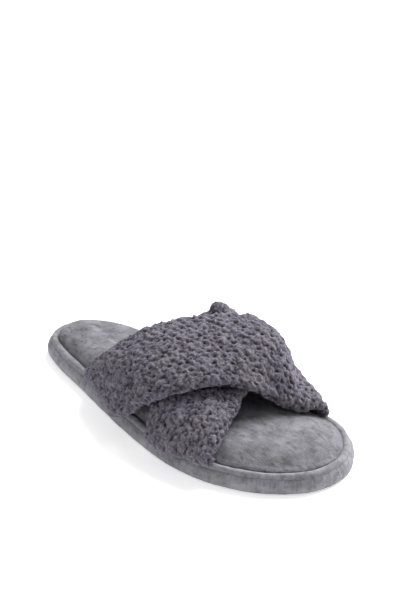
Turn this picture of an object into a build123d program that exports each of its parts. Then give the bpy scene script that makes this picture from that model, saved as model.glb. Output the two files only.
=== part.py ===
from build123d import *
import math
import os

# A spa slipper for the right foot, in millimetres, +Z up.
# The toe points to -Y and the heel to +Y; the wearer's right side is -X.
# Two padded straps cross over the instep. Each is sewn into the seam between
# the piped edge and the footbed at both ends.

# Sole stack, from the floor up
OUTSOLE_TOP = 2.6          # thickness of the moulded rubber outsole
MIDSOLE_TOP = 9.0
BOARD_TOP = 10.2
OUTSOLE_INSET = 3.4        # from the outline, the widest line of the edge wrap
MIDSOLE_INSET = 3.2
BOARD_INSET = 7.4
FLANGE_THICKNESS = 0.8     # edge wrap fabric turned under the midsole
FLANGE_WIDTH = 9.0

# Tread moulded in the outsole
TREAD_DEPTH = 0.9
TREAD_BORDER = 6.0
RIB_WIDTH = 2.6
RIB_PITCH = 6.5
RIB_CENTRE_Y = -340.0      # the ribs are arcs about this point

# Edge wrap: (height, inset) pairs of its outer face
WRAP_PROFILE = [(OUTSOLE_TOP, 1.6), (4.2, 0.5), (6.6, 0.0), (9.0, 0.6), (10.4, 2.2)]

# Piping bead that runs round the top of the edge
PIPING_INSET = 5.0
PIPING_Z = 12.0
PIPING_RADIUS = 2.5
CORD_RADIUS = 1.5

# Footbed: (height, inset) pairs of the foam and of its fabric cover
FOAM_PROFILE = [(BOARD_TOP, 10.2), (13.4, 10.3), (17.7, 11.4), (20.4, 14.2), (21.5, 20.0)]
COVER_PROFILE = [(BOARD_TOP, 9.2), (13.6, 9.3), (18.4, 10.3), (21.4, 13.4), (22.6, 20.0)]

# Straps: layers measured from the middle of the thickness
KNIT_THICKNESS = 1.8
LINING_THICKNESS = 1.2
HEM_WIDTH = 6.0            # knit turned over each long edge of the inner face
LAYER_GAP = 0.3            # between the layers of a strap
FLAT_STATIONS = 5          # sections at each end with no padding
SECTIONS = 24              # cross-sections along a strap
END_CROWDING = 0.6         # how much closer the sections are at the ends
FOOT_CENTRE = Vector(3, -5, 15)   # the straps' outer faces look away from here

RECENTRE = Pos(0.3, -0.75, 0)    # puts the origin under the middle of the slipper

# Stitches
STITCH_RADIUS = 0.3
STITCH_LENGTH = 2.6
SEAM_STITCH_PITCH = 5.2
SEAM_STITCH_INSET = 8.3
SEAM_STITCH_Z = 13.4

# The outline's nodes: x, y and the heading of the outline there, in degrees.
# It runs from the back of the heel down the wearer's right side to the toe
# and back up the left side; heading 180 is towards -X, 270 towards the toe.
OUTLINE = [
    (4, 131, 181),
    (-26, 88, 257),
    (-46, 10, 258),
    (-53, -42, 270),
    (-37, -99, 302),
    (11, -129.5, 2),
    (49.5, -102, 64),
    (53.5, -70, 96),
    (41.5, 5, 97),
    (40, 85, 95),
]

# Strap stations along each strap: rear edge, front edge, thickness and crown.
# The edges are the centre lines of the rolled edges; the crown is how far the
# middle of the strap stands out from the straight line between them.
TOP_STRAP_MIDDLE = [
    ((-29, 53, 29), (-46.5, 6, 24), 8.0, 2.0),
    ((-24, 42, 41), (-47.5, -6, 34), 8.0, 2.5),
    ((-14, 29, 53), (-42, -19, 44), 8.0, 3.0),
    ((0, 17, 60), (-26, -32, 50), 8.0, 3.5),
    ((15, 7, 62), (-8, -43, 50), 8.0, 4.0),
    ((30, -5.5, 63), (6, -54, 45.5), 8.0, 4.5),
    ((45.5, -19, 59.5), (22.5, -63.5, 33), 8.0, 8.0),
    ((50, -27, 44), (32, -74, 28), 8.0, 2.0),
    ((50.5, -32, 29), (44, -77.5, 25.5), 7.0, 2.5),
]
UNDER_STRAP_MIDDLE = [
    ((41, 50, 28), (46, 6, 26), 8.0, 3.0),
    ((43.5, 33, 40), (48, -3, 32), 8.0, 4.0),
    ((42.5, 17.5, 52.5), (47.5, -11, 36), 8.0, 4.5),
    ((38, 7.5, 64), (43, -21, 39.5), 8.0, 3.0),
    ((30, 6, 51), (34, -32, 38.5), 8.0, 1.0),
    ((12, 4, 47.5), (18, -42.5, 37.5), 8.0, 1.0),
    ((-6, -1, 45.5), (0, -48, 37.5), 8.0, 1.0),
    ((-23, -8, 42), (-11, -54, 34), 8.0, 1.5),
    ((-37, -15, 36), (-25, -60, 31), 8.0, 2.5),
    ((-46.5, -20, 28.5), (-39.5, -66, 25.5), 7.0, 3.0),
]

# Where the straps enter the seam: side of the slipper, rear Y, front Y and
# how far the padding bulges out over the piping there
TOP_STRAP_ENDS = [(-1, 63, 21, 3.2), (1, -33, -76.5, 0)]
UNDER_STRAP_ENDS = [(1, 64, 20, 0), (-1, -25, -70, 4.0)]
# From the seam up to the first station: height, inset from the outline, share
# of the way to that station's Y, thickness and crown
END_PROFILE = [(10.9, 8.35, 0.0, 1.0, 0.1), (15.0, 8.3, 0.1, 1.4, 0.2), (19.0, 5.0, 0.3, 5.4, 1.5)]
# What one millimetre of bulge does to each of those rows
BULGE_DROP = [0, 0, 0.3]
BULGE_REACH = [0, 0.05, 1.0]
BULGE_FILL = [0, 0, 0.3]


def heading_vector(degrees):
    angle = math.radians(degrees)
    return Vector(math.cos(angle), math.sin(angle))


def biarc(start, start_dir, end, end_dir):
    """Two tangent arcs from start to end, each as (start, middle, end)."""
    chord = end - start
    spread = 2 * (1 - start_dir.dot(end_dir))
    along = chord.dot(start_dir + end_dir)
    reach = (math.sqrt(along * along + spread * chord.dot(chord)) - along) / spread
    joint = (start + end + (start_dir - end_dir) * reach) * 0.5
    arcs = []
    for a, tangent, b in ((start, start_dir, joint), (end, end_dir * -1, joint)):
        span = b - a
        side = Vector(-tangent.Y, tangent.X)
        centre = a + side * (span.dot(span) / (2 * span.dot(side)))
        radius = (a - centre).length
        middle = centre + ((a + b) * 0.5 - centre).normalized() * radius
        arcs.append((a, middle, b) if b is joint and a is start else (b, middle, a))
    return arcs


def outline_arcs():
    nodes = [(Vector(x, y), heading_vector(h)) for x, y, h in OUTLINE]
    arcs = []
    for (p, d), (q, e) in zip(nodes, nodes[1:] + nodes[:1]):
        arcs += biarc(p, d, q, e)
    return arcs


ARCS = outline_arcs()


def arc_centre(arc):
    a, m, b = arc
    first = (a + m) * 0.5
    second = (m + b) * 0.5
    u = Vector(-(m - a).Y, (m - a).X)
    v = Vector(-(b - m).Y, (b - m).X)
    gap = second - first
    t = (gap.X * v.Y - gap.Y * v.X) / (u.X * v.Y - u.Y * v.X)
    return first + u * t


def inset_arc(arc, inset):
    """The arc moved inwards: the outline runs anticlockwise round the heel and
    toe, so inwards is to the left of its heading."""
    centre = arc_centre(arc)
    a, m, b = arc
    turn = (m - a).cross(b - m).Z
    moved = []
    for p in arc:
        out = (p - centre).normalized()
        moved.append(p - out * inset if turn > 0 else p + out * inset)
    return moved


def side_x(side, y, inset):
    """X of the inset outline at a Y, on the left (1) or right (-1) side."""
    for arc in ARCS:
        a, m, b = inset_arc(arc, inset)
        if m.X * side > 0 and min(a.Y, b.Y) <= y <= max(a.Y, b.Y):
            centre = arc_centre((a, m, b))
            reach = math.sqrt((a - centre).length ** 2 - (y - centre.Y) ** 2)
            return centre.X + math.copysign(reach, m.X - centre.X)
    raise ValueError("no outline at this Y")


def strap_stations(middle, ends):
    """The hand-set stations, with those from the seam up at both ends."""
    stations = list(middle)
    for end, at_start in zip(ends, (True, False)):
        side, rear_y, front_y, bulge = end
        near = middle[0] if at_start else middle[-1]
        rows = []
        for number, (z, inset, share, thickness, crown) in enumerate(END_PROFILE):
            z -= BULGE_DROP[number] * bulge
            inset -= BULGE_REACH[number] * bulge
            thickness += BULGE_FILL[number] * bulge
            points = []
            for seam_y, station_y in ((rear_y, near[0][1]), (front_y, near[1][1])):
                y = seam_y + (station_y - seam_y) * share
                points.append((side_x(side, y, inset), y, z))
            rows.append((points[0], points[1], thickness, crown))
        stations = rows + stations if at_start else stations + rows[::-1]
    return stations


def smooth_stations(stations):
    """Sections along a smooth curve through the stations, closer together
    near the two seams, where the strap turns most."""
    rows = [list(rear) + list(front) + [thickness, crown] for rear, front, thickness, crown in stations]
    places = [0.0]
    for a, b in zip(rows, rows[1:]):
        steps = [(b[k] + b[k + 3] - a[k] - a[k + 3]) / 2 for k in range(3)]
        places.append(places[-1] + math.hypot(*steps))
    smooth = []
    for number in range(SECTIONS):
        u = number / (SECTIONS - 1)
        at = places[-1] * (u - END_CROWDING * math.sin(2 * math.pi * u) / (2 * math.pi))
        row = hermite(rows, places, min(max(at, 0.0), places[-1]))
        smooth.append((row[0:3], row[3:6], row[6], row[7]))
    return smooth


def hermite(rows, places, at):
    """Cubic interpolation of the rows at a distance along the strap."""
    last = len(rows) - 1
    i = max(k for k in range(last) if places[k] <= at)
    span = places[i + 1] - places[i]
    t = (at - places[i]) / span
    values = []
    for k in range(len(rows[0])):
        start, end = (tangent(rows, places, n, k) * span for n in (i, i + 1))
        a, b = rows[i][k], rows[i + 1][k]
        values.append(a + start * t + (3 * (b - a) - 2 * start - end) * t ** 2
                      + (2 * (a - b) + start + end) * t ** 3)
    return values


def tangent(rows, places, n, k):
    """Slope of value k at row n, weighted by the distances on either side."""
    last = len(rows) - 1
    if n == 0 or n == last:
        m = 1 if n == 0 else last
        return (rows[m][k] - rows[m - 1][k]) / (places[m] - places[m - 1])
    before, after = places[n] - places[n - 1], places[n + 1] - places[n]
    rise_before = (rows[n][k] - rows[n - 1][k]) / before
    rise_after = (rows[n + 1][k] - rows[n][k]) / after
    return (rise_before * after + rise_after * before) / (before + after)


def outline_wire(inset, z):
    edges = []
    for arc in ARCS:
        points = [Vector(p.X, p.Y, z) for p in inset_arc(arc, inset)]
        edges.append(ThreePointArc(*points).edge())
    return Wire(edges)


def outline_face(inset, z=0.0):
    return Face(outline_wire(inset, z))


def slab(inset, bottom, top):
    return extrude(outline_face(inset, bottom), top - bottom, dir=(0, 0, 1))


def stack(profile):
    """A solid whose side runs through the (height, inset) pairs."""
    return Solid.make_loft([outline_wire(inset, z) for z, inset in profile])


def outsole():
    body = slab(OUTSOLE_INSET, 0, OUTSOLE_TOP)
    field = slab(OUTSOLE_INSET + TREAD_BORDER, 0, TREAD_DEPTH)
    ribs = []
    radius = abs(RIB_CENTRE_Y) - 110
    while radius < abs(RIB_CENTRE_Y) + 110:
        ring = Circle(radius + RIB_WIDTH / 2) - Circle(radius - RIB_WIDTH / 2)
        ring = Pos(0, RIB_CENTRE_Y, 0) * ring
        ribs.append(extrude(ring, TREAD_DEPTH) & field)
        radius += RIB_PITCH
    pocket = field
    for rib in ribs:
        pocket = pocket - rib
    return body - pocket


def midsole():
    body = slab(MIDSOLE_INSET, OUTSOLE_TOP, MIDSOLE_TOP)
    return body - flange()


def flange():
    outer = slab(MIDSOLE_INSET, OUTSOLE_TOP, OUTSOLE_TOP + FLANGE_THICKNESS)
    inner = slab(MIDSOLE_INSET + FLANGE_WIDTH, OUTSOLE_TOP, OUTSOLE_TOP + FLANGE_THICKNESS)
    return outer - inner


def edge_wrap():
    shell = stack(WRAP_PROFILE) - slab(MIDSOLE_INSET, OUTSOLE_TOP, WRAP_PROFILE[-1][0])
    return shell + flange()


def bead(section):
    """A ring that follows the outline, swept arc by arc."""
    ring = None
    for arc in ARCS:
        points = [Vector(p.X, p.Y, PIPING_Z) for p in inset_arc(arc, PIPING_INSET)]
        path = ThreePointArc(*points).edge()
        piece = sweep(Plane(origin=path @ 0, z_dir=path % 0) * section, path=path)
        ring = piece if ring is None else ring + piece
    return ring


def station_axes(stations, index):
    """Rear edge, front edge, direction across the strap and outward normal."""
    rear, front = Vector(*stations[index][0]), Vector(*stations[index][1])
    before = stations[max(index - 1, 0)]
    after = stations[min(index + 1, len(stations) - 1)]
    ahead = Vector(*after[0]) + Vector(*after[1])
    behind = Vector(*before[0]) + Vector(*before[1])
    across = (front - rear).normalized()
    out = across.cross(ahead - behind).normalized()
    if out.dot((rear + front) * 0.5 - FOOT_CENTRE) < 0:
        out = out * -1
    return rear, front, across, out


def across_point(axes, crown, distance, offset):
    """A point of the strap's section: its distance in from the rear edge and
    its offset outwards from the middle of the thickness."""
    rear, front, across, out = axes
    width = (front - rear).length
    part = distance / width
    return rear + across * distance + out * (4 * crown * part * (1 - part) + offset)


def face_arc(axes, crown, start, end, offset):
    """The part of a crowned face between two distances from the rear edge."""
    places = (start, (start + end) / 2, end)
    return ThreePointArc(*(across_point(axes, crown, place, offset) for place in places)).edge()


def edge_arc(axes, at_front, high, low):
    """The rolled edge, from the outer to the inner face."""
    rear, front, across, out = axes
    centre = (front if at_front else rear) + out * ((high + low) / 2)
    tip = across * ((high - low) / 2 * (1 if at_front else -1))
    points = (centre + out * ((high - low) / 2), centre + tip, centre - out * ((high - low) / 2))
    return ThreePointArc(*(points if at_front else points[::-1])).edge()


def band_wire(stations, index, low, high, margin):
    """A plain band between two offsets, set in from both edges by a margin."""
    axes = station_axes(stations, index)
    crown = stations[index][3]
    width = (axes[1] - axes[0]).length
    inner, outer = margin, width - margin
    corners = [across_point(axes, crown, place, offset)
               for place, offset in ((outer, high), (outer, low), (inner, low), (inner, high))]
    return Wire([
        face_arc(axes, crown, inner, outer, high),
        Line(corners[0], corners[1]).edge(),
        face_arc(axes, crown, outer, inner, low),
        Line(corners[2], corners[3]).edge(),
    ])


def knit_wire(stations, index):
    """The knit's section: round the outer face and both rolled edges, and
    turned over on the inner face as two hems."""
    axes = station_axes(stations, index)
    thickness, crown = stations[index][2], stations[index][3]
    width = (axes[1] - axes[0]).length
    half = thickness / 2
    inside = half - min(KNIT_THICKNESS, thickness / 4)
    hem_out = [across_point(axes, crown, place, -half) for place in (HEM_WIDTH, width - HEM_WIDTH)]
    hem_in = [across_point(axes, crown, place, -inside) for place in (HEM_WIDTH, width - HEM_WIDTH)]
    return Wire([
        face_arc(axes, crown, 0, width, half),
        edge_arc(axes, True, half, -half),
        face_arc(axes, crown, width, width - HEM_WIDTH, -half),
        Line(hem_out[1], hem_in[1]).edge(),
        face_arc(axes, crown, width - HEM_WIDTH, width, -inside),
        edge_arc(axes, True, inside, -inside).reversed(),
        face_arc(axes, crown, width, 0, inside),
        edge_arc(axes, False, inside, -inside).reversed(),
        face_arc(axes, crown, 0, HEM_WIDTH, -inside),
        Line(hem_in[0], hem_out[0]).edge(),
        face_arc(axes, crown, HEM_WIDTH, 0, -half),
        edge_arc(axes, False, half, -half),
    ])


def stitch(place, direction):
    """One short thread, a cylinder centred on a point."""
    axis = direction.normalized()
    base = Plane(origin=place - axis * (STITCH_LENGTH / 2), z_dir=axis)
    return extrude(base * Circle(STITCH_RADIUS), STITCH_LENGTH, dir=axis)


def seam_stitches():
    """Lockstitches along the seam between piping and footbed, left out where
    a strap's end fills the seam."""
    stitches = []
    for arc in ARCS:
        points = [Vector(p.X, p.Y, SEAM_STITCH_Z) for p in inset_arc(arc, SEAM_STITCH_INSET)]
        path = ThreePointArc(*points).edge()
        count = round(path.length / SEAM_STITCH_PITCH)
        for step in range(count):
            at = (step + 0.5) / count
            place = path @ at
            if not in_strap_end(place):
                stitches.append(stitch(place, path % at))
    return Compound(stitches)


def in_strap_end(place):
    for side, rear_y, front_y in (end[:3] for end in TOP_STRAP_ENDS + UNDER_STRAP_ENDS):
        beside = front_y - STITCH_LENGTH < place.Y < rear_y + STITCH_LENGTH
        if beside and place.X * side > 0:
            return True
    return False


def strap_nodes(name, middle, ends):
    """Knit outside, padding and lining. The last two stop short of the seam."""
    stations = smooth_stations(strap_stations(middle, ends))
    filled = range(FLAT_STATIONS, len(stations) - FLAT_STATIONS)
    knit, padding, lining = [], [], []
    for index in range(len(stations)):
        knit.append(knit_wire(stations, index))
    for index in filled:
        half = stations[index][2] / 2
        high = half - KNIT_THICKNESS - LAYER_GAP
        low = -half + KNIT_THICKNESS + LAYER_GAP
        padding.append(band_wire(stations, index, low, high, 0))
        lining.append(band_wire(stations, index, -half, -half + LINING_THICKNESS, HEM_WIDTH + LAYER_GAP))
    return {
        name + "_knit": Solid.make_loft(knit),
        name + "_padding": Solid.make_loft(padding),
        name + "_lining": Solid.make_loft(lining),
    }


def sole_nodes():
    cord = Circle(CORD_RADIUS)
    foam = stack(FOAM_PROFILE)
    return {
        "outsole": outsole(),
        "midsole": midsole(),
        "edge_wrap": edge_wrap(),
        "insole_board": slab(BOARD_INSET, MIDSOLE_TOP, BOARD_TOP),
        "footbed_foam": foam,
        "footbed_cover": stack(COVER_PROFILE) - foam,
        "piping_cord": bead(cord),
        "piping_cover": bead(Circle(PIPING_RADIUS) - cord),
        "seam_stitches": seam_stitches(),
    }


nodes = sole_nodes()
nodes.update(strap_nodes("top_strap", TOP_STRAP_MIDDLE, TOP_STRAP_ENDS))
nodes.update(strap_nodes("under_strap", UNDER_STRAP_MIDDLE, UNDER_STRAP_ENDS))

os.makedirs("parts", exist_ok=True)
for name, shape in nodes.items():
    export_step(RECENTRE * shape, "parts/" + name + ".step")
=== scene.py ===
import bpy
import math
import numpy as np
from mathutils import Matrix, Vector


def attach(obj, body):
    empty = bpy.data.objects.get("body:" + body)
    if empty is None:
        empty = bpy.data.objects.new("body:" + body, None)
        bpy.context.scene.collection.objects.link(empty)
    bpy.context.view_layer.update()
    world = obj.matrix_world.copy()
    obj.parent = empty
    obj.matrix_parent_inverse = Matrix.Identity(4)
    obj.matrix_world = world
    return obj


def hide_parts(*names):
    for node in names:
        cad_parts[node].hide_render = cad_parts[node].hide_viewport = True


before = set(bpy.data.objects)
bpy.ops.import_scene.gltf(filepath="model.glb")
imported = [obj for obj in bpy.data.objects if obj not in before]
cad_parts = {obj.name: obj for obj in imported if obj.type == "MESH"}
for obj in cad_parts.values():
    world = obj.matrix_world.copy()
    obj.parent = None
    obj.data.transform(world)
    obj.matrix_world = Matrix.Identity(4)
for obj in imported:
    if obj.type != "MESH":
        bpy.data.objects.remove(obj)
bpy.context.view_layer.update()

# Everything below is in millimetres in the part's own frame, and becomes
# metres in add_mesh. The part is packed with its origin moved by this much.
RECENTRE = np.array([0.3, -0.75, 0.0])

# ---------------------------------------------------------------- dimensions
# The outline's nodes: x, y and the heading of the outline there, in degrees
OUTLINE = [
    (4, 131, 181), (-26, 88, 257), (-46, 10, 258), (-53, -42, 270), (-37, -99, 302),
    (11, -129.5, 2), (49.5, -102, 64), (53.5, -70, 96), (41.5, 5, 97), (40, 85, 95),
]
# From the seam up: height, inset, share of the way to the first station's Y,
# thickness and crown
END_PROFILE = [(10.9, 8.35, 0.0, 1.0, 0.1), (15.0, 8.3, 0.1, 1.4, 0.2), (19.0, 5.0, 0.3, 5.4, 1.5)]
# Strap stations: rear edge, front edge, thickness and crown
TOP_STRAP = [
    ((-29, 53, 29), (-46.5, 6, 24), 8.0, 2.0),
    ((-24, 42, 41), (-47.5, -6, 34), 8.0, 2.5),
    ((-14, 29, 53), (-42, -19, 44), 8.0, 3.0),
    ((0, 17, 60), (-26, -32, 50), 8.0, 3.5),
    ((15, 7, 62), (-8, -43, 50), 8.0, 4.0),
    ((30, -5.5, 63), (6, -54, 45.5), 8.0, 4.5),
    ((45.5, -19, 59.5), (22.5, -63.5, 33), 8.0, 8.0),
    ((50, -27, 44), (32, -74, 28), 8.0, 2.0),
    ((50.5, -32, 29), (44, -77.5, 25.5), 7.0, 2.5),
]
UNDER_STRAP = [
    ((41, 50, 28), (46, 6, 26), 8.0, 3.0),
    ((43.5, 33, 40), (48, -3, 32), 8.0, 4.0),
    ((42.5, 17.5, 52.5), (47.5, -11, 36), 8.0, 4.5),
    ((38, 7.5, 64), (43, -21, 39.5), 8.0, 3.0),
    ((30, 6, 51), (34, -32, 38.5), 8.0, 1.0),
    ((12, 4, 47.5), (18, -42.5, 37.5), 8.0, 1.0),
    ((-6, -1, 45.5), (0, -48, 37.5), 8.0, 1.0),
    ((-23, -8, 42), (-11, -54, 34), 8.0, 1.5),
    ((-37, -15, 36), (-25, -60, 31), 8.0, 2.5),
    ((-46.5, -20, 28.5), (-39.5, -66, 25.5), 7.0, 3.0),
]
# Where the straps enter the seam: side, rear Y, front Y and bulge, and what
# one millimetre of bulge does to each row of END_PROFILE
TOP_ENDS = [(-1, 63, 21, 3.2), (1, -33, -76.5, 0)]
UNDER_ENDS = [(1, 64, 20, 0), (-1, -25, -70, 4.0)]
BULGE_DROP, BULGE_REACH, BULGE_FILL = (0, 0, 0.3), (0, 0.05, 1.0), (0, 0, 0.3)
# The padding bulges out at these places: centre, reach and shift
TOP_PULLS = [
    ((-50.0, 12.0, 20.0), 12.0, (-6.0, 0.5, -3.2)),
    ((49.0, -78.0, 16.0), 9.0, (0.5, -2.5, -3.0)),
    ((42.0, -38.0, 52.0), 18.0, (3.5, -2.0, 3.0)),
]
UNDER_PULLS = [((-52.0, -33.0, 19.0), 13.0, (-2.6, 0.0, -2.6))]
FOOT_CENTRE = np.array([3.0, -5.0, 15.0])
HEM_WIDTH = 6.0
HEM_STITCH_INSET = 1.3     # from the edge of the hem
HEM_STITCH_PITCH = 3.6
PIT_ALONG, PIT_AROUND = 5.7, 4.2     # pitches of the knit's pits
PAD_VOXEL = 0.00115        # of the footbed's remesh, in metres
PIPING_INSET, PIPING_Z, PIPING_RADIUS = 5.0, 12.0, 2.5
LENS, SENSOR = 174.36, 36


# ---------------------------------------------------------------- noise
LATTICE = np.random.default_rng(7).random((48, 48, 48)) * 2 - 1


def noise(points, size):
    """Smooth noise in -1..1 at points (n, 3), with features of that size."""
    q = np.asarray(points, float) / size + 200.37
    cell = np.floor(q).astype(int)
    f = q - cell
    f = f * f * (3 - 2 * f)
    total = np.zeros(len(q))
    for dx in (0, 1):
        for dy in (0, 1):
            for dz in (0, 1):
                weight = (f[:, 0] if dx else 1 - f[:, 0]) * (f[:, 1] if dy else 1 - f[:, 1])
                weight = weight * (f[:, 2] if dz else 1 - f[:, 2])
                x, y, z = (cell + (dx, dy, dz)).T % len(LATTICE)
                total += weight * LATTICE[x, y, z]
    return total


# ---------------------------------------------------------------- outline
def arc_points(a, tangent, b, count):
    side = np.array([-tangent[1], tangent[0]])
    span = b - a
    centre = a + side * (span @ span / (2 * span @ side))
    va, vb = a - centre, b - centre
    turn = math.atan2(va[0] * vb[1] - va[1] * vb[0], va @ vb)
    steps = np.linspace(0, 1, count) * turn
    return np.stack([centre[0] + va[0] * np.cos(steps) - va[1] * np.sin(steps),
                     centre[1] + va[0] * np.sin(steps) + va[1] * np.cos(steps)], 1)


def outline_curve(count):
    """Evenly spaced points of the outline and their outward normals."""
    nodes = [(np.array([x, y], float), np.array([math.cos(math.radians(h)), math.sin(math.radians(h))]))
             for x, y, h in OUTLINE]
    pieces = []
    for (p, d), (q, e) in zip(nodes, nodes[1:] + nodes[:1]):
        chord = q - p
        spread = 2 * (1 - d @ e)
        along = chord @ (d + e)
        reach = (math.sqrt(along * along + spread * (chord @ chord)) - along) / spread
        joint = (p + q + (d - e) * reach) * 0.5
        pieces.append(arc_points(p, d, joint, 40)[:-1])
        pieces.append(arc_points(q, -e, joint, 40)[::-1][:-1])
    loop = np.vstack(pieces)
    loop = np.vstack([loop, loop[:1]])
    lengths = np.r_[0, np.cumsum(np.linalg.norm(np.diff(loop, axis=0), axis=1))]
    at = np.arange(count) / count * lengths[-1]
    points = np.stack([np.interp(at, lengths, loop[:, k]) for k in (0, 1)], 1)
    ahead = np.roll(points, -3, 0) - np.roll(points, 3, 0)
    ahead /= np.linalg.norm(ahead, axis=1)[:, None]
    return points, np.stack([ahead[:, 1], -ahead[:, 0]], 1), at


def side_x(side, y, inset):
    points, normals, _ = outline_curve(2400)
    moved = points - normals * inset
    near = moved[moved[:, 0] * side > 0]
    near = near[np.argsort(near[:, 1])]
    return float(np.interp(y, near[:, 1], near[:, 0]))


# ---------------------------------------------------------------- mesh tools
def add_mesh(name, points, faces, values=None, smooth=True):
    mesh = bpy.data.meshes.new(name)
    verts = ((np.asarray(points) + RECENTRE) / 1000).tolist()
    mesh.from_pydata(verts, [], [list(map(int, f)) for f in faces])
    for key, data in (values or {}).items():
        layer = mesh.attributes.new(key, "FLOAT", "POINT")
        layer.data.foreach_set("value", np.asarray(data, np.float32).ravel())
    mesh.polygons.foreach_set("use_smooth", [smooth] * len(mesh.polygons))
    mesh.update()
    mesh.validate()
    obj = bpy.data.objects.new(name, mesh)
    bpy.context.scene.collection.objects.link(obj)
    return obj


def ring_faces(rows, cols, closed_rows=False):
    """Quads of a grid whose columns close on themselves."""
    r = np.arange(rows if closed_rows else rows - 1)[:, None]
    c = np.arange(cols)[None, :]
    r2, c2 = (r + 1) % rows, (c + 1) % cols
    quads = np.stack([r * cols + c, r * cols + c2, r2 * cols + c2, r2 * cols + c], -1)
    return quads.reshape(-1, 4)


def grid_normals(grid, wrap_rows=False):
    across = np.roll(grid, -1, 1) - np.roll(grid, 1, 1)
    if wrap_rows:
        along = np.roll(grid, -1, 0) - np.roll(grid, 1, 0)
    else:
        along = np.gradient(grid, axis=0)
    normal = np.cross(along, across)
    return normal / np.maximum(np.linalg.norm(normal, axis=2), 1e-9)[:, :, None]


def smooth_closed(points, count):
    """Evenly spaced points on a rounded closed curve through the points."""
    p = np.asarray(points, float)
    for _ in range(3):
        after = np.roll(p, -1, 0)
        p = np.stack([p * 0.75 + after * 0.25, p * 0.25 + after * 0.75], 1).reshape(-1, 2)
    loop = np.vstack([p, p[:1]])
    lengths = np.r_[0, np.cumsum(np.linalg.norm(np.diff(loop, axis=0), axis=1))]
    at = np.arange(count) / count * lengths[-1]
    return np.stack([np.interp(at, lengths, loop[:, k]) for k in (0, 1)], 1)


# ---------------------------------------------------------------- materials
def new_material(name):
    mat = bpy.data.materials.new(name)
    mat.use_nodes = True
    tree = mat.node_tree
    shader = next(n for n in tree.nodes if n.type == "BSDF_PRINCIPLED")
    coords = tree.nodes.new("ShaderNodeTexCoord")
    return mat, tree, shader, coords.outputs["Object"]


def noise_node(tree, vector, scale, detail=3.0, rough=0.55, stretch=None):
    if stretch:
        mapping = tree.nodes.new("ShaderNodeMapping")
        mapping.inputs["Scale"].default_value = stretch
        tree.links.new(vector, mapping.inputs["Vector"])
        vector = mapping.outputs["Vector"]
    node = tree.nodes.new("ShaderNodeTexNoise")
    node.inputs["Scale"].default_value = scale
    node.inputs["Detail"].default_value = detail
    node.inputs["Roughness"].default_value = rough
    tree.links.new(vector, node.inputs["Vector"])
    return node.outputs["Fac"]


def ramp(tree, fac, stops):
    node = tree.nodes.new("ShaderNodeValToRGB")
    while len(node.color_ramp.elements) < len(stops):
        node.color_ramp.elements.new(0.5)
    for element, (place, colour) in zip(node.color_ramp.elements, stops):
        element.position = place
        element.color = (*colour, 1)
    tree.links.new(fac, node.inputs["Fac"])
    return node.outputs["Color"]


def mix(tree, kind, factor, a, b):
    node = tree.nodes.new("ShaderNodeMix")
    node.data_type = "RGBA"
    node.blend_type = kind
    for socket, value in ((node.inputs[0], factor), (node.inputs[6], a), (node.inputs[7], b)):
        if isinstance(value, (int, float)):
            socket.default_value = value
        elif isinstance(value, tuple):
            socket.default_value = (*value, 1)
        else:
            tree.links.new(value, socket)
    return node.outputs[2]


def maths(tree, kind, a, b):
    node = tree.nodes.new("ShaderNodeMath")
    node.operation = kind
    for socket, value in zip(node.inputs, (a, b)):
        if isinstance(value, (int, float)):
            socket.default_value = value
        else:
            tree.links.new(value, socket)
    return node.outputs[0]


def bump(tree, shader, height, strength, distance):
    node = tree.nodes.new("ShaderNodeBump")
    node.inputs["Strength"].default_value = strength
    node.inputs["Distance"].default_value = distance
    tree.links.new(height, node.inputs["Height"])
    tree.links.new(node.outputs["Normal"], shader.inputs["Normal"])


def attribute(tree, name):
    node = tree.nodes.new("ShaderNodeAttribute")
    node.attribute_name = name
    return node.outputs["Fac"]


def scaled(colour, k):
    return tuple(c * k for c in colour)


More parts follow.
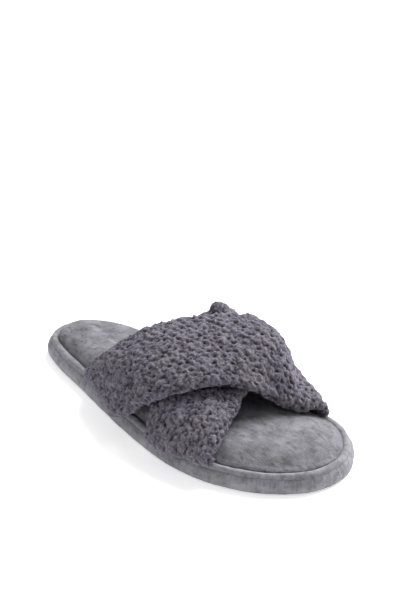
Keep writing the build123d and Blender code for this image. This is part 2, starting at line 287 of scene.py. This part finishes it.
def jersey(name, base, contrast=1.0, ribbed=False, stretch=(1.0, 1.0, 1.0)):
    """Brushed heather jersey: cloudy blotches, short streaks, fine fibres."""
    mat, tree, shader, at = new_material(name)
    blotch = noise_node(tree, at, 85, 4.0, 0.6, stretch)
    streak = noise_node(tree, at, 330, 3.0, 0.6, (1.0, 0.32, 1.0))
    fibre = noise_node(tree, at, 1500, 2.0, 0.7)
    colour = ramp(tree, blotch, [(0.28, scaled(base, 1 - 0.30 * contrast)), (0.5, base),
                                 (0.74, scaled(base, 1 + 0.24 * contrast))])
    marl = ramp(tree, streak, [(0.3, (0.80, 0.80, 0.82)), (0.5, (1.0, 1.0, 1.0)), (0.72, (1.16, 1.16, 1.15))])
    colour = mix(tree, "MULTIPLY", 0.8, colour, marl)
    fleck = noise_node(tree, at, 240, 3.0, 0.6, stretch)
    flecks = ramp(tree, fleck, [(0.33, (0.62, 0.62, 0.63)), (0.45, (0.98, 0.98, 0.98)),
                                (0.7, (1.14, 1.14, 1.14))])
    colour = mix(tree, "MULTIPLY", 0.9 * contrast if contrast < 1 else 0.9, colour, flecks)
    fine = ramp(tree, fibre, [(0.3, (0.78, 0.78, 0.79)), (0.7, (1.2, 1.2, 1.2))])
    colour = mix(tree, "MULTIPLY", 0.7, colour, fine)
    # Painted shade in the rib grooves and painted light on the rib crests, from the ring's rib heights.
    if ribbed:
        ribs = ramp(tree, attribute(tree, "rib_painted_shade"), [(0.0, (0.74, 0.74, 0.75)), (0.55, (1.0, 1.0, 1.0)),
                                                   (1.0, (1.1, 1.1, 1.1))])
        colour = mix(tree, "MULTIPLY", 0.85, colour, ribs)
    tree.links.new(colour, shader.inputs["Base Color"])
    shader.inputs["Roughness"].default_value = 0.93
    shader.inputs["Specular IOR Level"].default_value = 0.12
    shader.inputs["Sheen Weight"].default_value = 0.22
    shader.inputs["Sheen Roughness"].default_value = 0.5
    shader.inputs["Sheen Tint"].default_value = (0.85, 0.86, 0.92, 1)
    height = maths(tree, "ADD", maths(tree, "MULTIPLY", streak, 0.9), maths(tree, "MULTIPLY", fibre, 0.6))
    bump(tree, shader, height, 0.7, 0.0012)
    return mat


def plush(name, base):
    """Chunky waffle knit with a short pile: painted shade in the pits, painted light on raised lumps and pile.
    """
    mat, tree, shader, at = new_material(name)
    pile = noise_node(tree, at, 780, 5.0, 0.75)
    cloud = noise_node(tree, at, 60, 2.0, 0.5)
    # Painted shade and light from the mesh's pit values: darkest in the pits, lightest on raised lumps and
    # pile.
    colour = ramp(tree, attribute(tree, "pit"), [(0.0, scaled(base, 1.35)), (0.3, scaled(base, 0.98)),
                                                 (0.65, scaled(base, 0.45)), (1.0, scaled(base, 0.16))])
    tips = ramp(tree, pile, [(0.32, (0.42, 0.41, 0.43)), (0.5, (0.95, 0.95, 0.95)),
                             (0.66, (1.75, 1.72, 1.75))])
    colour = mix(tree, "MULTIPLY", 0.9, colour, tips)
    tone = ramp(tree, cloud, [(0.35, (0.90, 0.90, 0.97)), (0.65, (1.08, 1.05, 1.02))])
    colour = mix(tree, "MULTIPLY", 0.8, colour, tone)
    tree.links.new(colour, shader.inputs["Base Color"])
    shader.inputs["Roughness"].default_value = 0.96
    shader.inputs["Specular IOR Level"].default_value = 0.08
    shader.inputs["Sheen Weight"].default_value = 0.36
    shader.inputs["Sheen Roughness"].default_value = 0.45
    shader.inputs["Sheen Tint"].default_value = (0.80, 0.79, 0.95, 1)
    bump(tree, shader, pile, 0.8, 0.0014)
    return mat


def plain(name, base, rough, scale, contrast, depth, spec=0.3):
    """A made material with fine grain and slight tone changes."""
    mat, tree, shader, at = new_material(name)
    grain = noise_node(tree, at, scale, 4.0, 0.6)
    cloud = noise_node(tree, at, scale / 12, 2.0, 0.5)
    colour = ramp(tree, grain, [(0.3, scaled(base, 1 - contrast)), (0.7, scaled(base, 1 + contrast))])
    tone = ramp(tree, cloud, [(0.3, (0.93, 0.93, 0.93)), (0.7, (1.05, 1.05, 1.05))])
    tree.links.new(mix(tree, "MULTIPLY", 1.0, colour, tone), shader.inputs["Base Color"])
    shader.inputs["Roughness"].default_value = rough
    shader.inputs["Specular IOR Level"].default_value = spec
    bump(tree, shader, grain, 0.5, depth)
    return mat


KNIT = (0.138, 0.129, 0.149)
JERSEY = (0.235, 0.233, 0.250)
m_knit = plush("strap_plush_knit", KNIT)
# The lining's dark colour is painted shade for the hollow under the straps.
m_lining_painted_shade = jersey("strap_tricot_painted_shade", (0.10, 0.097, 0.115), 0.5)
# One jersey for footbed, edge wrap and piping: the footbed's copy is darker and the edge and piping copies
# lighter, as painted light on the sideways-facing cloth.
m_footbed = jersey("footbed_jersey_cloth", scaled(JERSEY, 0.80), 1.15, False, (1.0, 0.75, 1.0))
m_edge_painted_light = jersey("edge_jersey_painted_light", scaled(JERSEY, 1.12), 0.8, True)
m_piping_painted_light = jersey("piping_jersey_painted_light", scaled(JERSEY, 1.08), 0.8, True)
m_rubber = plain("outsole_rubber_black", (0.045, 0.045, 0.048), 0.72, 900, 0.18, 0.0003)
m_foam = plain("midsole_eva", (0.35, 0.35, 0.36), 0.85, 700, 0.12, 0.0003)
m_board = plain("insole_fibreboard", (0.36, 0.28, 0.18), 0.9, 500, 0.25, 0.0002)
m_cord = plain("cotton_cord", (0.6, 0.6, 0.56), 0.95, 1400, 0.2, 0.0004)
m_wadding = plain("wadding_white", (0.7, 0.7, 0.68), 1.0, 500, 0.1, 0.0006)
m_thread = plain("thread_grey", (0.16, 0.16, 0.175), 0.7, 2500, 0.25, 0.0001)


def dress(node, mat):
    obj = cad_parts[node]
    obj.data.materials.clear()
    obj.data.materials.append(mat)


for node, mat in {"outsole": m_rubber, "midsole": m_foam, "insole_board": m_board,
                  "piping_cord": m_cord, "seam_stitches": m_thread, "top_strap_padding": m_wadding,
                  "under_strap_padding": m_wadding}.items():
    dress(node, mat)


# ---------------------------------------------------------------- straps
def strap_rows(middle, ends, count):
    """Stations along a smooth curve: rear, front, thickness, crown."""
    stations = list(middle)
    for (side, rear_y, front_y, bulge), at_start in zip(ends, (True, False)):
        near = middle[0] if at_start else middle[-1]
        rows = []
        for number, (z, inset, share, thickness, crown) in enumerate(END_PROFILE):
            z -= BULGE_DROP[number] * bulge
            inset -= BULGE_REACH[number] * bulge
            thickness += BULGE_FILL[number] * bulge
            pair = []
            for seam_y, station_y in ((rear_y, near[0][1]), (front_y, near[1][1])):
                y = seam_y + (station_y - seam_y) * share
                pair.append((side_x(side, y, inset), y, z))
            rows.append((pair[0], pair[1], thickness, crown))
        stations = rows + stations if at_start else stations + rows[::-1]
    rows = np.array([[*a, *b, t, c] for a, b, t, c in stations], float)
    mids = (rows[:, 0:3] + rows[:, 3:6]) / 2
    places = np.r_[0, np.cumsum(np.linalg.norm(np.diff(mids, axis=0), axis=1))]
    slopes = np.zeros_like(rows)
    slopes[0] = (rows[1] - rows[0]) / (places[1] - places[0])
    slopes[-1] = (rows[-1] - rows[-2]) / (places[-1] - places[-2])
    for n in range(1, len(rows) - 1):
        before, after = places[n] - places[n - 1], places[n + 1] - places[n]
        rise_before = (rows[n] - rows[n - 1]) / before
        rise_after = (rows[n + 1] - rows[n]) / after
        slopes[n] = (rise_before * after + rise_after * before) / (before + after)
    at = np.linspace(0, places[-1], count)
    i = np.clip(np.searchsorted(places, at, side="right") - 1, 0, len(rows) - 2)
    span = (places[i + 1] - places[i])[:, None]
    t = (at - places[i])[:, None] / span
    a, b = rows[i], rows[i + 1]
    s, e = slopes[i] * span, slopes[i + 1] * span
    return a + s * t + (3 * (b - a) - 2 * s - e) * t ** 2 + (2 * (a - b) + s + e) * t ** 3


def section_axes(rows):
    rear, front = rows[:, 0:3], rows[:, 3:6]
    across = front - rear
    width = np.linalg.norm(across, axis=1)
    across = across / width[:, None]
    ahead = np.gradient(rear + front, axis=0)
    out = np.cross(across, ahead)
    out /= np.linalg.norm(out, axis=1)[:, None]
    flip = np.sum(out * ((rear + front) / 2 - FOOT_CENTRE), axis=1) < 0
    out[flip] *= -1
    return rear, across, width, out


def strap_surface(rows, cols):
    """Grid of the strap's closed section, with distance round it in mm."""
    rear, across, width, out = section_axes(rows)
    half, crown = rows[:, 6] / 2, rows[:, 7]
    flat, turn = int(cols * 0.385), int(cols * 0.115)
    outer = np.linspace(0, 1, flat, endpoint=False)
    bend = np.linspace(0, math.pi, turn, endpoint=False)
    inner = np.linspace(1, 0, flat, endpoint=False)
    across_at, offset = [], []
    for w, h in zip(width, half):
        puff = 0.16 * h * (1 - (2 * outer - 1) ** 4)
        across_at.append(np.r_[outer * w, w + np.sin(bend) * h, inner * w, -np.sin(bend) * h])
        offset.append(np.r_[h + puff, np.cos(bend) * h, -h + 0 * inner, -np.cos(bend) * h])
    across_at, offset = np.array(across_at), np.array(offset)
    part = np.clip(across_at / width[:, None], 0, 1)
    rise = 4 * crown[:, None] * part * (1 - part)
    grid = rear[:, None] + across[:, None] * across_at[:, :, None]
    grid = grid + out[:, None] * (rise + offset)[:, :, None]
    steps = np.linalg.norm(np.roll(grid, -1, 1) - grid, axis=2)
    around = np.cumsum(steps, axis=1) - steps
    around -= around[:, [flat // 2]]
    return grid, around, flat, turn


def pits(along, around, pitch_along, pitch_around, seed):
    """Closeness, 0 to 1, to the nearest pit of a brick lattice."""
    jitter = np.random.default_rng(seed).random((97, 97, 3)) - 0.5
    row = np.floor(around / pitch_around).astype(int)
    best = np.zeros(along.shape)
    for dr in (-1, 0, 1):
        r = row + dr
        shift = (r % 2) * 0.5
        col = np.floor(along / pitch_along - shift + 0.5).astype(int)
        for dc in (-1, 0, 1):
            c = col + dc
            j = jitter[r % 97, c % 97]
            x = (c + shift + 0.34 * j[..., 0]) * pitch_along
            y = (r + 0.5 + 0.34 * j[..., 1]) * pitch_around
            d2 = ((along - x) / 1.30) ** 2 + ((around - y) / 0.80) ** 2
            best = np.maximum(best, (0.8 + 0.9 * j[..., 2]) * np.exp(-d2))
    return np.clip(best, 0, 1.3)


def make_strap(name, middle, ends, pulls, seed):
    """The knit with its pits and pile, then its lining and hem stitches."""
    rows = strap_rows(middle, ends, 430)
    grid, around, flat, turn = strap_surface(rows, 208)
    for centre, radius, shift in pulls:
        near = np.exp(-np.sum((grid - centre) ** 2, axis=2) / radius ** 2)
        grid = grid + near[:, :, None] * np.array(shift)
    mids = (rows[:, 0:3] + rows[:, 3:6]) / 2
    along = np.r_[0, np.cumsum(np.linalg.norm(np.diff(mids, axis=0), axis=1))][:, None] + 0 * around
    normal = grid_normals(grid)
    centre = grid.mean(1, keepdims=True)
    if np.sum(normal * (grid - centre)) < 0:
        normal = -normal
    flat_points = grid.reshape(-1, 3)
    wander = noise(flat_points + seed * 31, 9.0).reshape(along.shape)
    wander2 = noise(flat_points + seed * 57 + 400, 9.0).reshape(along.shape)
    pit_along, pit_around = along + 1.5 * wander, around + 1.5 * wander2
    hole = pits(pit_along, pit_around, PIT_ALONG, PIT_AROUND, seed)
    body = np.clip((rows[:, 6] - 1.6) / 3.5, 0, 1)[:, None]
    lumps = noise(flat_points, 2.4).reshape(along.shape)
    pile = noise(flat_points + 900, 1.15).reshape(along.shape)
    cells = np.sin(2 * math.pi * pit_along / PIT_ALONG) * np.sin(math.pi * pit_around / PIT_AROUND)
    swell = noise(flat_points + 50, 17.0).reshape(along.shape)
    relief = body * (0.6 - 1.05 * hole + 0.85 * lumps + 0.62 * pile + 0.35 * cells + 0.8 * swell)
    cols = grid.shape[1]
    inner = np.zeros(cols)
    inner[flat + turn:2 * flat + turn] = 1
    relief = relief * (1 - 0.55 * inner)
    surface = grid + normal * relief[:, :, None]
    faces = ring_faces(*along.shape).tolist()
    faces.append(list(range(cols))[::-1])
    faces.append(list(range((len(rows) - 1) * cols, len(rows) * cols)))
    # Painted shade and light: darker in the pits, lighter on the raised lumps and pile.
    shade = np.clip(0.22 + 0.60 * hole - 0.36 * lumps - 0.50 * pile, 0, 1)
    knit = add_mesh(name + "_plush", surface.reshape(-1, 3), faces, {"pit": shade})
    knit.data.materials.append(m_knit)
    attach(knit, "root")
    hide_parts(name + "_knit")
    make_lining(name, rows)
    make_hem_stitches(name, rows)


def inner_point(axes, rows, i, distance, offset):
    """A point of the inner face, at a distance from the rear edge."""
    rear, across, width, out = axes
    part = distance / width[i]
    rise = 4 * rows[i, 7] * part * (1 - part)
    return rear[i] + across[i] * distance + out[i] * (rise - rows[i, 6] / 2 + offset)


def make_lining(name, rows):
    """The smooth lining let in between the two hems on the inner face."""
    axes = section_axes(rows)
    used = [i for i in range(0, len(rows), 3) if rows[i, 6] > 6.0]
    cols = 24
    points = []
    for i in used:
        width = axes[2][i]
        places = np.linspace(HEM_WIDTH, width - HEM_WIDTH, cols)
        lower = [inner_point(axes, rows, i, d, -0.75 - 0.25 * math.sin(math.pi * k / (cols - 1)))
                 for k, d in enumerate(places)]
        upper = [inner_point(axes, rows, i, d, 0.7) for d in places[::-1]]
        points.append(lower + upper)
    points = np.array(points)
    faces = ring_faces(len(used), 2 * cols).tolist()
    faces.append(list(range(2 * cols))[::-1])
    faces.append(list(range((len(used) - 1) * 2 * cols, len(used) * 2 * cols)))
    lining = add_mesh(name + "_inner_lining", points.reshape(-1, 3), faces)
    # Dark lining colour: painted shade of the hollow under the strap.
    lining.data.materials.append(m_lining_painted_shade)
    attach(lining, "root")
    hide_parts(name + "_lining")


def capsule(a, b, radius):
    """A short rounded thread between two points."""
    axis = b - a
    length = np.linalg.norm(axis)
    axis = axis / length
    side = np.cross(axis, [0.0, 0.0, 1.0])
    side /= np.linalg.norm(side)
    other = np.cross(axis, side)
    points = [a - axis * radius * 0.6]
    for share, width in ((0.0, 0.75), (0.18, 1.0), (0.82, 1.0), (1.0, 0.75)):
        for k in range(8):
            angle = 2 * math.pi * k / 8
            spoke = side * math.cos(angle) + other * math.sin(angle)
            points.append(a + axis * length * share + spoke * radius * width)
    points.append(b + axis * radius * 0.6)
    faces = [[0, 1 + (k + 1) % 8, 1 + k] for k in range(8)]
    for ring in range(3):
        base = 1 + ring * 8
        faces += [[base + k, base + (k + 1) % 8, base + 8 + (k + 1) % 8, base + 8 + k] for k in range(8)]
    last = len(points) - 1
    faces += [[last, 25 + k, 25 + (k + 1) % 8] for k in range(8)]
    return points, faces


def make_hem_stitches(name, rows):
    """Two rows of short threads that hold the hems."""
    axes = section_axes(rows)
    used = [i for i in range(len(rows)) if rows[i, 6] > 6.0]
    points, faces = [], []
    for from_rear in (True, False):
        last = None
        for i in used:
            width = axes[2][i]
            inset = HEM_WIDTH - HEM_STITCH_INSET
            d = inset if from_rear else width - inset
            here = inner_point(axes, rows, i, d, -0.75)
            if last is None:
                last = here
                continue
            if np.linalg.norm(here - last) >= HEM_STITCH_PITCH:
                step = here - last
                p, f = capsule(last + step * 0.12, last + step * 0.80, 0.34)
                faces += [[v + len(points) for v in face] for face in f]
                points += p
                last = here
    stitches = add_mesh(name + "_hem_stitches", np.array(points), faces)
    stitches.data.materials.append(m_thread)
    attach(stitches, "root")


make_strap("top_strap", TOP_STRAP, TOP_ENDS, TOP_PULLS, 3)
make_strap("under_strap", UNDER_STRAP, UNDER_ENDS, UNDER_PULLS, 5)


# ---------------------------------------------------------------- edge and piping
def make_ring(name, loop, count, node, mat, rib_depth, seed):
    """A closed section swept round the outline: (inset, height) pairs."""
    points, normals, at = outline_curve(count)
    grid = np.zeros((count, len(loop), 3))
    grid[:, :, 0] = points[:, 0:1] - normals[:, 0:1] * loop[None, :, 0]
    grid[:, :, 1] = points[:, 1:2] - normals[:, 1:2] * loop[None, :, 0]
    grid[:, :, 2] = loop[None, :, 1]
    normal = grid_normals(grid, True)
    if np.sum(normal * (grid - grid.mean(1, keepdims=True))) < 0:
        normal = -normal
    turn = at / at[-1] * 2 * math.pi
    circle = np.stack([np.cos(turn), np.sin(turn), 0 * turn], 1) * 120
    fine = noise(circle + seed, 1.15)[:, None] + 0 * grid[:, :, 0]
    ribs = 0.5 + 0.5 * (0.65 * fine + 0.55 * noise(grid.reshape(-1, 3) + seed, 2.6).reshape(fine.shape))
    slack = noise(circle + seed + 60, 14.0)[:, None]
    soft = noise(grid.reshape(-1, 3) + 300, 6.0).reshape(fine.shape)
    relief = rib_depth * (ribs - 0.5) * 2 + 0.22 * slack + 0.16 * soft
    surface = grid + normal * relief[:, :, None]
    surface[:, :, 2] = np.maximum(surface[:, :, 2], 0.3)
    faces = ring_faces(count, len(loop), True)
    # The rib heights also go to the material as painted shade and light on the ribs.
    ring = add_mesh(name, surface.reshape(-1, 3), faces, {"rib_painted_shade": np.clip(ribs, 0, 1)})
    ring.data.materials.append(mat)
    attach(ring, "root")
    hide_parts(node)


edge_loop = smooth_closed([(3.5, 2.6), (3.3, 1.0), (1.9, 0.7), (0.7, 1.9), (0.0, 4.0), (-0.15, 6.4),
                           (0.2, 8.7), (1.1, 10.5), (2.5, 11.9), (4.0, 11.8), (4.4, 9.6),
                           (4.4, 6.0), (4.2, 3.6)], 38)
make_ring("edge_wrap_cloth", edge_loop, 1500, "edge_wrap", m_edge_painted_light, 0.16, 11.0)
angles = np.linspace(0, 2 * math.pi, 26, endpoint=False)
bead_loop = np.stack([PIPING_INSET + (PIPING_RADIUS + 0.1) * np.cos(angles),
                      PIPING_Z + (PIPING_RADIUS + 0.1) * np.sin(angles)], 1)
make_ring("piping_cover_cloth", bead_loop, 1500, "piping_cover", m_piping_painted_light, 0.12, 77.0)


# ---------------------------------------------------------------- footbed
def make_footbed():
    """The padded cover: a crowned pad remeshed evenly, then dimpled."""
    points, normals, _ = outline_curve(420)
    profile = [(8.6, 10.6), (7.3, 11.6), (7.0, 13.0), (7.5, 14.6), (8.6, 16.6), (10.3, 18.8),
               (12.8, 20.6), (16.0, 21.9), (20.0, 22.7), (26.0, 23.1)]
    verts = []
    for inset, z in profile:
        ring = points - normals * inset
        verts.append(np.c_[ring, np.full(len(ring), z)])
    verts = np.vstack(verts)
    count = len(points)
    faces = ring_faces(len(profile), count).tolist()
    faces.append(list(range(count)))
    faces.append(list(range((len(profile) - 1) * count, len(profile) * count))[::-1])
    pad = add_mesh("footbed_pad", verts, faces)
    remesh = pad.modifiers.new("even", "REMESH")
    remesh.mode = "VOXEL"
    remesh.voxel_size = PAD_VOXEL
    relax = pad.modifiers.new("relax", "SMOOTH")
    relax.factor = 0.5
    relax.iterations = 6
    depsgraph = bpy.context.evaluated_depsgraph_get()
    mesh = bpy.data.meshes.new_from_object(pad.evaluated_get(depsgraph))
    pad.modifiers.clear()
    pad.data = mesh
    co = np.zeros(len(mesh.vertices) * 3)
    mesh.vertices.foreach_get("co", co)
    co = co.reshape(-1, 3) * 1000
    local = co - RECENTRE
    flat_sole = np.column_stack([local[:, 0], local[:, 1], 0 * local[:, 0]])
    border = points - normals * 9.0
    depth = np.full(len(local), 1e9)
    for k in range(0, len(border), 4):
        depth = np.minimum(depth, np.hypot(local[:, 0] - border[k, 0], local[:, 1] - border[k, 1]))
    upper = np.clip((local[:, 2] - 14.0) / 5.0, 0, 1)
    middle = np.clip(depth / 22.0, 0, 1)
    crown = 0.9 * middle * middle * (3 - 2 * middle)
    wrinkles = noise(np.column_stack([local[:, 0] * 0.45, local[:, 1], 0 * local[:, 0]]) + 40, 5.5)
    dimples = noise(flat_sole + 90, 4.2)
    broad = noise(flat_sole + 10, 24.0)
    seam = np.exp(-(depth / 4.0) ** 2)
    pucker = noise(flat_sole + 500, 3.0) * seam
    toe = np.clip((-local[:, 1] - 40.0) / 45.0, 0, 1)
    toe = toe * toe * (3 - 2 * toe)
    heel = np.clip((local[:, 1] - 5.0) / 35.0, 0, 1) * np.clip((112.0 - local[:, 1]) / 35.0, 0, 1)
    heel = heel * np.clip((local[:, 0] + 4.0) / 30.0, 0, 1)
    soften = -2.6 * toe * np.exp(-((depth - 4.0) / 9.0) ** 2) - 0.8 * toe
    raised = 4.4 * heel * np.exp(-((depth - 12.0) / 14.0) ** 2)
    lift = upper * (crown * (1 - 0.6 * toe) + 0.50 * wrinkles * middle + 0.55 * dimples * middle + 0.45 * broad
                    + 0.40 * pucker + soften + raised)
    co[:, 2] += lift
    mesh.vertices.foreach_set("co", (co / 1000).ravel())
    mesh.polygons.foreach_set("use_smooth", [True] * len(mesh.polygons))
    mesh.materials.clear()
    mesh.materials.append(m_footbed)
    mesh.update()
    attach(pad, "root")
    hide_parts("footbed_cover", "footbed_foam")


make_footbed()

# ---------------------------------------------------------------- stage
floor_mesh = bpy.data.meshes.new("floor")
floor_mesh.from_pydata([(-6, -6, 0), (6, -6, 0), (6, 6, 0), (-6, 6, 0)], [], [(0, 1, 2, 3)])
floor = bpy.data.objects.new("floor", floor_mesh)
bpy.context.scene.collection.objects.link(floor)
m_floor, tree, shader, at = new_material("floor_white")
shader.inputs["Base Color"].default_value = (0.85, 0.85, 0.85, 1)
shader.inputs["Emission Color"].default_value = (1.0, 1.0, 1.0, 1)
shader.inputs["Emission Strength"].default_value = 0.58
shader.inputs["Roughness"].default_value = 1.0
shader.inputs["Specular IOR Level"].default_value = 0.0
floor_mesh.materials.append(m_floor)


def backdrop():
    """A pale wall far behind, seen by the camera only."""
    points, faces = [], []
    for k in range(64):
        angle = 2 * math.pi * k / 64
        points += [(5.9 * math.cos(angle), 5.9 * math.sin(angle), z) for z in (-0.01, 7.0)]
        n = (k + 1) % 64
        faces.append((2 * k, 2 * n, 2 * n + 1, 2 * k + 1))
    wall_mesh = bpy.data.meshes.new("wall")
    wall_mesh.from_pydata(points, [], faces)
    wall = bpy.data.objects.new("wall", wall_mesh)
    bpy.context.scene.collection.objects.link(wall)
    material, _, wall_shader, _ = new_material("wall_white")
    wall_shader.inputs["Base Color"].default_value = (0.0, 0.0, 0.0, 1)
    wall_shader.inputs["Specular IOR Level"].default_value = 0.0
    wall_shader.inputs["Emission Color"].default_value = (1.0, 1.0, 1.0, 1)
    wall_shader.inputs["Emission Strength"].default_value = 1.0
    wall_mesh.materials.append(material)
    wall.visible_diffuse = False
    wall.visible_glossy = False
    wall.visible_transmission = False
    wall.visible_shadow = False


backdrop()

world = bpy.data.worlds.new("studio")
bpy.context.scene.world = world
world.use_nodes = True
background = next(n for n in world.node_tree.nodes if n.type == "BACKGROUND")
sky_at = world.node_tree.nodes.new("ShaderNodeTexCoord")
split = world.node_tree.nodes.new("ShaderNodeSeparateXYZ")
world.node_tree.links.new(sky_at.outputs["Generated"], split.inputs["Vector"])
sky = ramp(world.node_tree, split.outputs["Z"], [(0.0, (0.04, 0.04, 0.05)), (0.5, (0.14, 0.14, 0.16)),
                                                 (1.0, (1.0, 1.0, 1.0))])
world.node_tree.links.new(sky, background.inputs["Color"])
background.inputs["Strength"].default_value = 0.80


def area_light(name, place, target, size, power):
    data = bpy.data.lights.new(name, "AREA")
    data.shape = "DISK"
    data.size = size
    data.energy = power
    lamp = bpy.data.objects.new(name, data)
    bpy.context.scene.collection.objects.link(lamp)
    lamp.location = place
    lamp.rotation_euler = (Vector(target) - Vector(place)).to_track_quat("-Z", "Y").to_euler()


area_light("key", (1.35, 0.10, 1.40), (0, 0, 0.02), 1.7, 86)
area_light("low_left", (-1.25, 0.35, 0.20), (0, 0, 0.01), 0.7, 2.5)

# ---------------------------------------------------------------- camera
AZIMUTH, ELEVATION, DISTANCE = math.radians(-134), math.radians(31.787), 1.938
back = Vector((math.cos(ELEVATION) * math.cos(AZIMUTH), math.cos(ELEVATION) * math.sin(AZIMUTH),
               math.sin(ELEVATION)))
right = Vector((-math.sin(AZIMUTH), math.cos(AZIMUTH), 0))
up = back.cross(right)
camera_data = bpy.data.cameras.new("camera")
camera_data.lens = LENS
camera_data.sensor_width = SENSOR
camera_data.clip_start = 0.05
camera_data.clip_end = 30
camera = bpy.data.objects.new("camera", camera_data)
bpy.context.scene.collection.objects.link(camera)
camera.location = Vector((0.0033, -0.00075, 0)) + back * DISTANCE
aim = -back + right * 0.0039 + up * 0.0391
camera.rotation_euler = aim.to_track_quat("-Z", "Y").to_euler()
bpy.context.scene.camera = camera

bpy.context.scene.view_settings.view_transform = "Standard"
bpy.context.scene.view_settings.look = "None"
